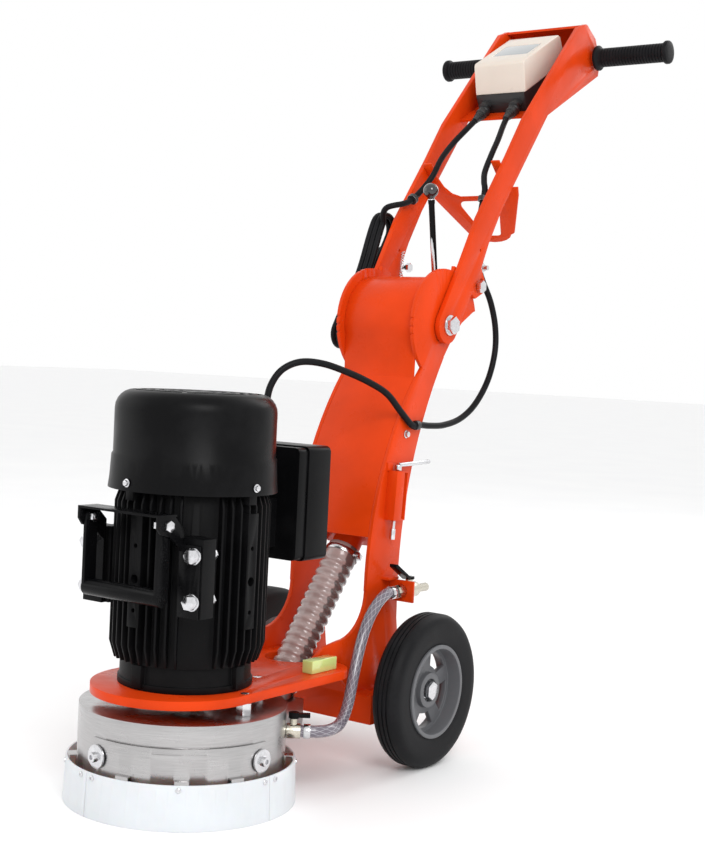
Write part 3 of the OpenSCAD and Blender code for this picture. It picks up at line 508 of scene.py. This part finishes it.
def make_finishes(colours):
    made = {
        "orange": powder_coat("orange_powder_coat", tuple(colours.coat)),
        # painted shade: a darker copy of the orange powder coat, standing for coated faces in
        # shadow
        "painted_shade_coat": powder_coat("shaded_powder_coat", tuple(c * 0.75 for c in colours.coat), 0.4),
        "black": cast_black("satin_black_paint", tuple(colours.motor)),
        "bracket": cast_black("gloss_black_paint", tuple(colours.motor), 0.26, 900, 0.12),
        "case": cast_black("case_black_paint", tuple(colours.motor), 0.34, 500, 0.2),
        "stainless": brushed("brushed_stainless", (0.56, 0.55, 0.55), 0.26),
        "stainless_bright": brushed("bright_stainless", (0.72, 0.72, 0.73), 0.16),
        "chrome": plated("plated_fasteners", (0.74, 0.74, 0.76)),
        "shaft": brushed("turned_steel", (0.5, 0.5, 0.51), 0.3, "X"),
        "nickel": plated("nickel_plate", (0.66, 0.62, 0.52), 0.2),
        "skirt": moulded("white_skirt_plastic", (0.74, 0.73, 0.75), 0.42, 260, 0.25, 0.12),
        "rim": moulded("grey_rim_plastic", (0.11, 0.112, 0.12), 0.36, 500, 0.2),
        "tyre": rubber("tyre_rubber", (0.010, 0.010, 0.011), 0.5),
        "cable": rubber("cable_rubber", (0.008, 0.008, 0.009), 0.42, 700),
        "grip": rubber("grip_rubber", (0.008, 0.008, 0.009), 0.46, 600),
        "knob": moulded("knob_plastic", (0.008, 0.008, 0.009), 0.08, 300, 0.02, 0.0, 1.0),
        "base": moulded("black_case_plastic", (0.016, 0.016, 0.017), 0.4),
        "cream": moulded("cream_case_plastic", tuple(colours.cover), 0.3, 700, 0.12, 0.03, 0.2),
        "window": moulded("grey_window_plastic", (0.34, 0.36, 0.37), 0.12, 200, 0.02, 0.0, 0.8),
        "green": moulded("green_button_plastic", (0.01, 0.24, 0.05), 0.25),
        "red": moulded("red_button_plastic", (0.45, 0.01, 0.008), 0.25),
        "level": moulded("level_block_plastic", (0.62, 0.72, 0.25), 0.1, 200, 0.02, 0.1, 1.0),
        "hose": ribbed_clear("clear_ribbed_hose", (0.44, 0.32, 0.30)),
        "water": braided_clear("clear_braided_hose", (0.14, 0.12, 0.15)),
        "iron": cast_black("tool_iron", (0.06, 0.06, 0.065), 0.5),
        "copper": plated("winding_wire", (0.5, 0.2, 0.08), 0.3),
    }
    FINISHES.update(made)


# ---- what a user may change ------------------------------------------------

class GrinderColours(bpy.types.PropertyGroup):
    """The main colours."""
    coat: bpy.props.FloatVectorProperty(
        name="Powder coat", description="Colour of the frame and handle", subtype="COLOR",
        default=(0.72, 0.052, 0.004), min=0, max=1)
    motor: bpy.props.FloatVectorProperty(
        name="Motor paint", description="Colour of the motor and brackets", subtype="COLOR",
        default=(0.0032, 0.0032, 0.0036), min=0, max=1)
    cover: bpy.props.FloatVectorProperty(
        name="Switch cover", description="Colour of the switch box", subtype="COLOR",
        default=(0.70, 0.61, 0.53), min=0, max=1)


class GrinderSizes(bpy.types.PropertyGroup):
    """Sizes of the detail that the frame leaves open."""
    lead: bpy.props.FloatProperty(
        name="Lead", description="Diameter of the electric leads", unit="LENGTH",
        default=0.010, min=0.006, max=0.014)
    hose_pitch: bpy.props.FloatProperty(
        name="Hose pitch", description="Distance between the dust hose's ribs",
        unit="LENGTH", default=0.014, min=0.006, max=0.03)
    plate_edge: bpy.props.FloatProperty(
        name="Plate edge", description="Rounding of the plates' edges", unit="LENGTH",
        default=0.0009, min=0.0002, max=0.003)
    coil_wire: bpy.props.FloatProperty(
        name="Spring wire", description="Diameter of the latch springs' wire",
        unit="LENGTH", default=0.0016, min=0.001, max=0.003)
    floor: bpy.props.FloatProperty(
        name="Floor", description="Width of the studio floor", unit="LENGTH",
        default=60.0, min=4, max=100)


def sizes():
    return bpy.context.scene.grinder_sizes


def colours():
    return bpy.context.scene.grinder_colours


class Piece:
    bl_options = {"REGISTER", "UNDO"}

    def execute(self, context):
        self.build()
        clear_selection()
        return {"FINISHED"}


# ---- stage and cords --------------------------------------------------------

class GRINDER_OT_stage(Piece, bpy.types.Operator):
    """Camera, pale floor and soft studio light"""
    bl_idname = "grinder.stage"
    bl_label = "Stage"

    def build(self):
        az, el, roll = (math.radians(a) for a in (35.3, 2.5, 2.8))
        forward = Vector((-math.sin(az) * math.cos(el), math.cos(az) * math.cos(el),
                          -math.sin(el)))
        right = Vector((math.cos(az), math.sin(az), 0))
        up = right.cross(forward)
        across = math.cos(roll) * right + math.sin(roll) * up
        above = -math.sin(roll) * right + math.cos(roll) * up
        lens = bpy.data.cameras.new("studio_camera")
        lens.sensor_fit = "VERTICAL"
        lens.sensor_height = 24
        lens.lens = 24 * 1475.7 / 851
        lens.clip_end = 60
        camera = bpy.data.objects.new("studio_camera", lens)
        bpy.context.scene.collection.objects.link(camera)
        turn = Matrix((across, above, -forward)).transposed().to_4x4()
        camera.matrix_world = Matrix.Translation(at(1299.4, -1476.4, 593.0)) @ turn
        bpy.context.scene.camera = camera

        clear_selection()
        bpy.ops.mesh.primitive_plane_add(size=sizes().floor, location=(0, 0, 0))
        floor = bpy.context.object
        floor.name = "studio_floor"
        f = Finish("pale_floor")
        cloud = f.noise(3, 3)
        floor.data.materials.append(f.shade(
            colour=f.mix(f.spread(cloud, 0.3, 0.7), (0.93, 0.93, 0.93), (0.91, 0.91, 0.915)),
            roughness=0.7, specular=0.2))

        world = bpy.data.worlds.new("studio_world")
        world.use_nodes = True
        background = world.node_tree.nodes["Background"]
        background.inputs[0].default_value = (1.0, 1.0, 1.0, 1)
        background.inputs[1].default_value = 1.0
        bpy.context.scene.world = world
        bpy.context.scene.view_settings.view_transform = "Standard"
        for name, where, aim, size, power in (
                ("key_light", (2.6, -2.4, 2.6), (0, -0.1, 0.5), 1.6, 60),
                ("fill_light", (-2.8, -2.0, 1.6), (0, -0.1, 0.5), 2.2, 8),
                ("rim_light", (0.5, 3.0, 2.8), (0, 0, 0.6), 2.0, 25)):
            light = bpy.data.lights.new(name, "AREA")
            light.shape = "SQUARE"
            light.size = size
            light.energy = power
            lamp = bpy.data.objects.new(name, light)
            bpy.context.scene.collection.objects.link(lamp)
            lamp.location = where
            lamp.rotation_euler = (Vector(aim) - Vector(where)).to_track_quat(
                "-Z", "Y").to_euler()


class GRINDER_OT_cords(Piece, bpy.types.Operator):
    """The mains lead with its hank and plug, and the motor's lead"""
    bl_idname = "grinder.cords"
    bl_label = "Leads"

    def build(self):
        radius = sizes().lead / 2 / MM
        cable = FINISHES["cable"]
        lead = [Vector(p) for p in smooth_route(MAINS_LEAD, 8)]
        turns = self.hank()
        path = lead[:-1] + turns
        mains = tube("mains_cord", path, radius, "handle", cable,
                     ("mains_lead", "mains_hank"), 4)
        plug = self.plug(turns)
        length = sum((b - a).length for a, b in zip(path, path[1:]))
        for name, route, body, node in (
                ("motor_cord_upper", UPPER_LEAD, "handle", "motor_lead_upper"),
                ("motor_cord_lower", LOWER_LEAD, "frame", "motor_lead_lower")):
            tube(name, smooth_route(route), radius, body, cable, (node,), 5)
        loop = as_mesh(tube("motor_cord_loop", smooth_route(LEAD_LOOP), radius, "handle",
                            cable, (), 5))
        loop.parent = None
        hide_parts("motor_lead_loop")
        at(76, 625, 700)
        at(82, 500, 500)
        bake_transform(loop)

    def hank(self):
        """Three long turns side by side, each pinched a little at its waist."""
        points = []
        half, run, steps = 21.0, HANK_RUN, 14
        for turn in range(3):
            x0 = 10 - 10 * turn
            for i in range(steps):
                a = 4 + (run - 4) * i / steps
                pinch = 1 - 0.42 * math.sin(math.pi * a / run) ** 2
                points.append(on_hank(x0 - 1.0 * i / steps, a, -half * pinch))
            for i in range(12):
                t = math.pi * i / 12
                points.append(on_hank(x0 - 1 - 4 * i / 12, run + half * math.sin(t),
                                      -half * math.cos(t)))
            for i in range(steps):
                a = run * (1 - i / steps)
                pinch = 1 - 0.42 * math.sin(math.pi * a / run) ** 2
                points.append(on_hank(x0 - 5, a, half * pinch))
            if turn == 2:
                break
            for i in range(12):
                t = math.pi * i / 12
                points.append(on_hank(x0 - 5 - 5 * i / 12, -half * math.sin(t),
                                      half * math.cos(t)))
        points = points[:-4]
        points += [on_hank(-14, 36, 19.5), on_hank(-10, 26, 24), on_hank(-5, 18, 32),
                   on_hank(-1, 16, 39), on_hank(0, 20, 43.5)]
        return points

    def plug(self, turns):
        """A round rubber plug with a stepped grip and a ribbed neck."""
        along = (on_hank(0, 100, 43.5) - on_hank(0, 0, 43.5)).normalized()
        start = on_hank(0, 20, 43.5)
        profile = [(5.2, 0), (5.6, 1), (5.6, 4), (6.6, 4.6), (6.6, 7.4), (5.9, 8), (5.9, 11),
                   (7.4, 11.6), (7.4, 14.4), (6.4, 15), (6.4, 18), (8.4, 19), (9.2, 22),
                   (12.2, 25), (13, 28), (13, 40), (12, 43), (12, 52), (13, 55), (13, 61),
                   (15, 63), (16, 66), (16, 74), (15.2, 75.6), (13.5, 76)]
        piece = turned(profile, start, along, 40)
        smooth(piece, 30)
        return finish(piece, "mains_plug_body", "handle", FINISHES["base"],
                      ("mains_plug",))


class GRINDER_OT_strain_reliefs(Piece, bpy.types.Operator):
    """Gland nuts and the tapered sleeves of the leads"""
    bl_idname = "grinder.strain_reliefs"
    bl_label = "Cable glands"

    def build(self):
        made = []
        profile = [(10.4, 0), (10.4, 5), (9.6, 6), (9.6, 9), (10, 9.6), (10, 15), (9.2, 16.4),
                   (7.6, 17), (7.4, 20), (7.9, 20.4), (7.9, 22), (7, 22.4), (7, 25),
                   (7.3, 25.4), (7.3, 27), (6.3, 27.6), (6.1, 34), (5.3, 38)]
        for route in (UPPER_LEAD, MAINS_LEAD):
            here = at(*route[0])
            away = (at(*route[1]) - here).normalized()
            made.append(turned(profile, here - away * 16 * MM, away, 24))
        piece = joined(made)
        smooth(piece, 30)
        finish(piece, "switch_glands", "handle", FINISHES["base"])
        here = at(*LOWER_LEAD[-1])
        piece = turned(profile, here - Vector((0, 0, 14 * MM)), (0, 0, 1), 24)
        smooth(piece, 30)
        finish(piece, "box_gland", "frame", FINISHES["base"])
        self.clips()

    def clips(self):
        """Black clips that hold the leads on the arms and on the column."""
        right = turned([(8.2, -0.4), (9, 0.3), (9, 7.7), (8.2, 8.4)],
                       at(64.4, 603.4, 862), (0, 0.242, 0.970), 32)
        left = turned([(8.2, -0.4), (9, 0.3), (9, 6.7), (8.2, 7.4)],
                      at(-64.4, 588.8, 865.6), (0, 0.848, 0.530), 32)
        piece = joined([right, left])
        smooth(piece, 40)
        finish(piece, "arm_clips", "handle", FINISHES["base"])
        piece = turned([(6.6, -4.6), (7.3, -4), (7.3, 4), (6.6, 4.6)], at(79, 416, 500),
                       (0, 1, 0), 32)
        smooth(piece, 40)
        finish(piece, "column_clip", "frame", FINISHES["base"])


# ---- frame -------------------------------------------------------------------

class GRINDER_OT_plates(Piece, bpy.types.Operator):
    """Coated plates of the column, deck and axle"""
    bl_idname = "grinder.plates"
    bl_label = "Frame plates"

    def build(self):
        edge = sizes().plate_edge / MM
        for node, finish_ in (("side_plates", "orange"), ("column_skin", "orange"),
                              ("bulkhead", "orange"), ("deck_plate", "orange"),
                              ("axle_carrier", "orange"), ("tool_holder", "orange")):
            softened(node, FINISHES[finish_], edge)


class GRINDER_OT_handle(Piece, bpy.types.Operator):
    """Coated arms, tray, bar and brace of the handle"""
    bl_idname = "grinder.handle"
    bl_label = "Handle"

    def build(self):
        edge = sizes().plate_edge / MM
        for node in ("handle_arms", "head_panel", "brace_plate", "handlebar"):
            softened(node, FINISHES["orange"], edge)


class GRINDER_OT_grips(Piece, bpy.types.Operator):
    """Ribbed rubber grips"""
    bl_idname = "grinder.grips"
    bl_label = "Grips"

    def build(self):
        profile = [(13.2, 88), (21, 88), (22, 89.4), (22, 92.8), (20.8, 94), (17.6, 95.4)]
        for i in range(21):
            x = 98 + i * 5.7
            profile += [(16.5, x), (16.5, x + 3.6), (15.3, x + 4.2), (15.3, x + 5.1)]
        profile += [(16.5, 218), (19.2, 219), (20, 220.4), (20, 225), (19, 226.6),
                    (16.5, 227.2), (12, 228), (4, 228)]
        grips = []
        for side in (1, -1):
            grips.append(turned(profile, at(0, 936, 1155), (side, 0, 0), 48))
        piece = joined(grips)
        smooth(piece, 40)
        finish(piece, "ribbed_grips", "handle", FINISHES["grip"], ("grips",))


class GRINDER_OT_switch(Piece, bpy.types.Operator):
    """Switch box with its flap and push buttons"""
    bl_idname = "grinder.switch"
    bl_label = "Switch box"

    def build(self):
        softened("switch_cover", FINISHES["cream"], 3.0, 4)
        softened("switch_base", FINISHES["base"], 1.2, 3)
        softened("switch_window", FINISHES["window"], 0.8, 3)
        softened("start_button", FINISHES["green"], 1.2, 3)
        softened("stop_button", FINISHES["red"], 1.2, 3)


class GRINDER_OT_motor(Piece, bpy.types.Operator):
    """Finned motor, its cowl and terminal box"""
    bl_idname = "grinder.motor"
    bl_label = "Motor"

    def build(self):
        softened("motor_frame", FINISHES["black"], 0.7, 2)
        softened("motor_bell", FINISHES["black"], 1.6, 3)
        softened("fan_cowl", FINISHES["case"], 0.6, 2)
        softened("terminal_box", FINISHES["case"], 1.2, 3)
        softened("terminal_lid", FINISHES["case"], 2.0, 3)
        NODES["cooling_fan"].data.materials.clear()
        for node, finish_ in (("cooling_fan", "base"), ("stator", "iron"),
                              ("motor_bearings", "shaft"), ("rotor", "shaft")):
            paint(node, finish_)


class GRINDER_OT_lifting(Piece, bpy.types.Operator):
    """Black lifting bracket and its bail"""
    bl_idname = "grinder.lifting"
    bl_label = "Lifting bail"

    def build(self):
        softened("lift_bracket", FINISHES["bracket"], 0.8, 3)
        softened("lift_bail", FINISHES["bracket"], 1.0, 3)


class GRINDER_OT_head(Piece, bpy.types.Operator):
    """Shroud, edge guard, skirts, hub and disc"""
    bl_idname = "grinder.head"
    bl_label = "Grinding head"

    def build(self):
        softened("shroud", FINISHES["stainless"], 0.5, 2)
        softened("edge_door", FINISHES["stainless"], 0.5, 2)
        softened("disc_hub", FINISHES["iron"], 1.5, 2)
        softened("grinding_disc", FINISHES["iron"], 0.6, 2)
        softened("rear_skirt", FINISHES["skirt"], 0.6, 2)
        softened("front_skirt", FINISHES["skirt"], 0.6, 2)
        screw = [(3.6, 0), (3.6, 1.2), (3.0, 1.9), (1.6, 2.2), (1.4, 1.4)]
        for body, name, angles in (
                ("guard", "front_skirt_screws", (-5.1, 40.6, 85.8)),
                ("frame", "rear_skirt_screws", (-13.7, 93.4, 128, 160, 200, 240, 280, 320))):
            made = []
            for angle in angles:
                made.append(turned(screw, round_head(angle, 152.9, 52), outward(angle), 18))
            piece = joined(made)
            smooth(piece, 40)
            finish(piece, name, body, FINISHES["chrome"])


class GRINDER_OT_wheels(Piece, bpy.types.Operator):
    """Grooved tyres, rims and axle"""
    bl_idname = "grinder.wheels"
    bl_label = "Wheels"

    def build(self):
        inner, outer = 129.6, 173.9
        profile = [(69, inner + 3), (74, inner + 1.6), (82, inner + 1), (92, inner + 0.2),
                   (100, inner), (106, inner + 1.2), (110, inner + 4.4), (112.6, inner + 9)]
        for groove in (14, 21, 28):
            x = inner + groove
            profile += [(113.5, x - 2.6), (113.5, x - 0.2), (111.6, x + 0.3),
                        (111.6, x + 1.7), (113.5, x + 2.2)]
        profile += [(113.5, outer - 11), (112.6, outer - 9), (110, outer - 4.4),
                    (106, outer - 1.2), (100, outer), (92, outer - 0.2), (82, outer - 1),
                    (74, outer - 1.6), (69, outer - 3), (69, inner + 3)]
        for side, name in ((1, "right"), (-1, "left")):
            tyre = turned(profile, at(0, AXLE[1], AXLE[2]), (side, 0, 0), 96, closed=True)
            smooth(tyre, 30)
            finish(tyre, "grooved_tyre_" + name, "wheel_" + name, FINISHES["tyre"],
                   ("tyre_" + name,))
            softened("rim_" + name, FINISHES["rim"], 1.2, 3)
        softened("axle", FINISHES["chrome"], 0.8, 2)


class GRINDER_OT_hoses(Piece, bpy.types.Operator):
    """Ribbed dust hose, braided water hose and their clamps"""
    bl_idname = "grinder.hoses"
    bl_label = "Hoses"

    def build(self):
        low, high = at(*HOSE_LOW), at(*HOSE_TOP)
        length = (high - low).length / MM
        pitch = sizes().hose_pitch / MM
        profile = [(22.6, 0), (25.0, 0)]
        z = 10.0
        profile.append((24.6, z))
        while z < length - 16 - pitch:
            for step, radius in ((0.0, 24.9), (0.12, 25.0), (0.3, 24.9), (0.42, 23.4),
                                 (0.52, 22.6), (0.8, 22.6), (0.9, 23.4)):
                profile.append((radius + 0.1, z + step * pitch))
            z += pitch
        profile += [(24.8, z), (25.0, length - 14), (25.0, length), (22.6, length)]
        hose = turned(profile, low, high - low, 56, closed=True)
        smooth(hose, 50)
        finish(hose, "ribbed_hose", "frame", FINISHES["hose"], ("dust_hose",))

        route = smooth_route(WATER_HOSE, 8)
        water = as_mesh(tube("braided_hose", route, 8.2, "frame", FINISHES["water"],
                             (), 9))
        self.braid(water, route)
        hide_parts("water_hose")
        softened("hose_clamps", FINISHES["stainless_bright"], 0.3, 2)
        softened("water_fitting", FINISHES["nickel"], 0.6, 2)
        softened("ball_valve", FINISHES["nickel"], 0.6, 2)
        softened("valve_lever", FINISHES["bracket"], 0.6, 2)
        softened("drain_lever", FINISHES["bracket"], 0.6, 2)

    def braid(self, piece, route):
        """Lays a braid map on the hose: how far round and how far along."""
        mesh = piece.data
        layer = mesh.uv_layers.new(name="braid")
        travelled = [0.0]
        for a, b in zip(route, route[1:]):
            travelled.append(travelled[-1] + (b - a).length)
        found = {}
        for vertex in mesh.vertices:
            near = min(range(len(route)), key=lambda i: (route[i] - vertex.co).length_squared)
            a = route[max(near - 1, 0)]
            b = route[min(near + 1, len(route) - 1)]
            along = (b - a).normalized()
            side = along.cross(Vector((0.3, 0.2, 1))).normalized()
            over = along.cross(side)
            away = vertex.co - route[near]
            found[vertex.index] = (math.atan2(away.dot(over), away.dot(side)) * 4,
                                   (travelled[near] + away.dot(along)) / (5 * MM))
        for polygon in mesh.polygons:
            rounds = [found[mesh.loops[i].vertex_index][0] for i in polygon.loop_indices]
            wrap = max(rounds) - min(rounds) > 4 * math.pi
            for i in polygon.loop_indices:
                u, v = found[mesh.loops[i].vertex_index]
                layer.data[i].uv = (u + 8 * math.pi if wrap and u < 0 else u, v)


class GRINDER_OT_latch(Piece, bpy.types.Operator):
    """Latch rod with its release lever, ball knob and coil springs"""
    bl_idname = "grinder.latch"
    bl_label = "Latch"

    def build(self):
        softened("latch_rod", FINISHES["chrome"], 0.6, 2)
        foot, tip = at(0, 573.4, 722), at(0, 548, 864)
        lever = turned([(6.6, 0), (8.2, 1), (8.2, 9), (6.4, 11), (4.9, 14), (4.9, 134),
                        (5.6, 137), (5.6, 142)], foot - (tip - foot).normalized() * 2 * MM,
                       tip - foot, 32)
        smooth(lever, 40)
        finish(lever, "release_lever", "latch", FINISHES["bracket"])
        knob = turned([(4.6, -13.4), (5.6, -12.6), (7.2, -10.2), (10.4, -6.9), (12.1, -3.2),
                       (12.5, 0), (12.1, 3.2), (10.8, 6.3), (8.6, 9.1), (5.6, 11.2),
                       (2.4, 12.3), (0.01, 12.5)], at(0, 546, 874),
                      at(0, 548, 864) - at(0, 572, 726), 48)
        smooth(knob, 60)
        finish(knob, "ball_knob", "latch", FINISHES["knob"], ("lever_knob",))
        springs = []
        for side in (1, -1):
            a, b = at(side * 68, 572, 733), at(side * 68, 576, 778)
            along = (b - a).normalized()
            x = Vector((1, 0, 0))
            y = along.cross(x)
            coils, steps = 11, 14
            points = [a + (b - a) * (i / (coils * steps)) + 2.9 * MM * (
                x * math.cos(2 * math.pi * i / steps) + y * math.sin(2 * math.pi * i / steps))
                for i in range(coils * steps + 1)]
            springs.append(as_mesh(tube("spring", points, sizes().coil_wire / 2 / MM,
                                        "handle", FINISHES["chrome"],
                                        (), 2)))
        piece = joined(springs)
        finish(piece, "latch_coils", "handle", FINISHES["chrome"],
               ("latch_springs",))


class GRINDER_OT_fasteners(Piece, bpy.types.Operator):
    """Bolts, level, key and other bright fittings"""
    bl_idname = "grinder.fasteners"
    bl_label = "Fasteners"

    def build(self):
        for node in ("frame_bolts", "standoff_bolts", "handle_fittings", "guard_bolts"):
            softened(node, FINISHES["chrome"], 0.7, 2)
        softened("tool_key", FINISHES["chrome"], 0.5, 2)
        softened("bubble_level", FINISHES["level"], 1.0, 3)


def paint(node, finish_):
    """Gives a CAD node that stays its finish."""
    materials = NODES[node].data.materials
    materials.clear()
    materials.append(FINISHES[finish_])


OPERATORS = (GRINDER_OT_stage, GRINDER_OT_cords, GRINDER_OT_strain_reliefs,
             GRINDER_OT_plates, GRINDER_OT_handle, GRINDER_OT_grips, GRINDER_OT_switch,
             GRINDER_OT_motor, GRINDER_OT_lifting, GRINDER_OT_head, GRINDER_OT_wheels,
             GRINDER_OT_hoses, GRINDER_OT_latch, GRINDER_OT_fasteners)


class GRINDER_PT_panel(bpy.types.Panel):
    """Lists the grinder's pieces"""
    bl_idname = "GRINDER_PT_panel"
    bl_label = "Concrete grinder"
    bl_space_type = "VIEW_3D"
    bl_region_type = "UI"
    bl_category = "Grinder"

    def draw(self, context):
        layout = self.layout
        for group in (context.scene.grinder_colours, context.scene.grinder_sizes):
            for name in group.__annotations__:
                layout.prop(group, name)
        for operator in OPERATORS:
            layout.operator(operator.bl_idname)


CLASSES = (GrinderColours, GrinderSizes, *OPERATORS, GRINDER_PT_panel)


def register():
    for cls in CLASSES:
        bpy.utils.register_class(cls)
    bpy.types.Scene.grinder_colours = bpy.props.PointerProperty(type=GrinderColours)
    bpy.types.Scene.grinder_sizes = bpy.props.PointerProperty(type=GrinderSizes)


def unregister():
    del bpy.types.Scene.grinder_sizes
    del bpy.types.Scene.grinder_colours
    for cls in reversed(CLASSES):
        bpy.utils.unregister_class(cls)


def main():
    register()
    make_finishes(colours())
    for operator in OPERATORS:
        group, name = operator.bl_idname.split(".")
        getattr(getattr(bpy.ops, group), name)()


if __name__ == "__main__":
    main()
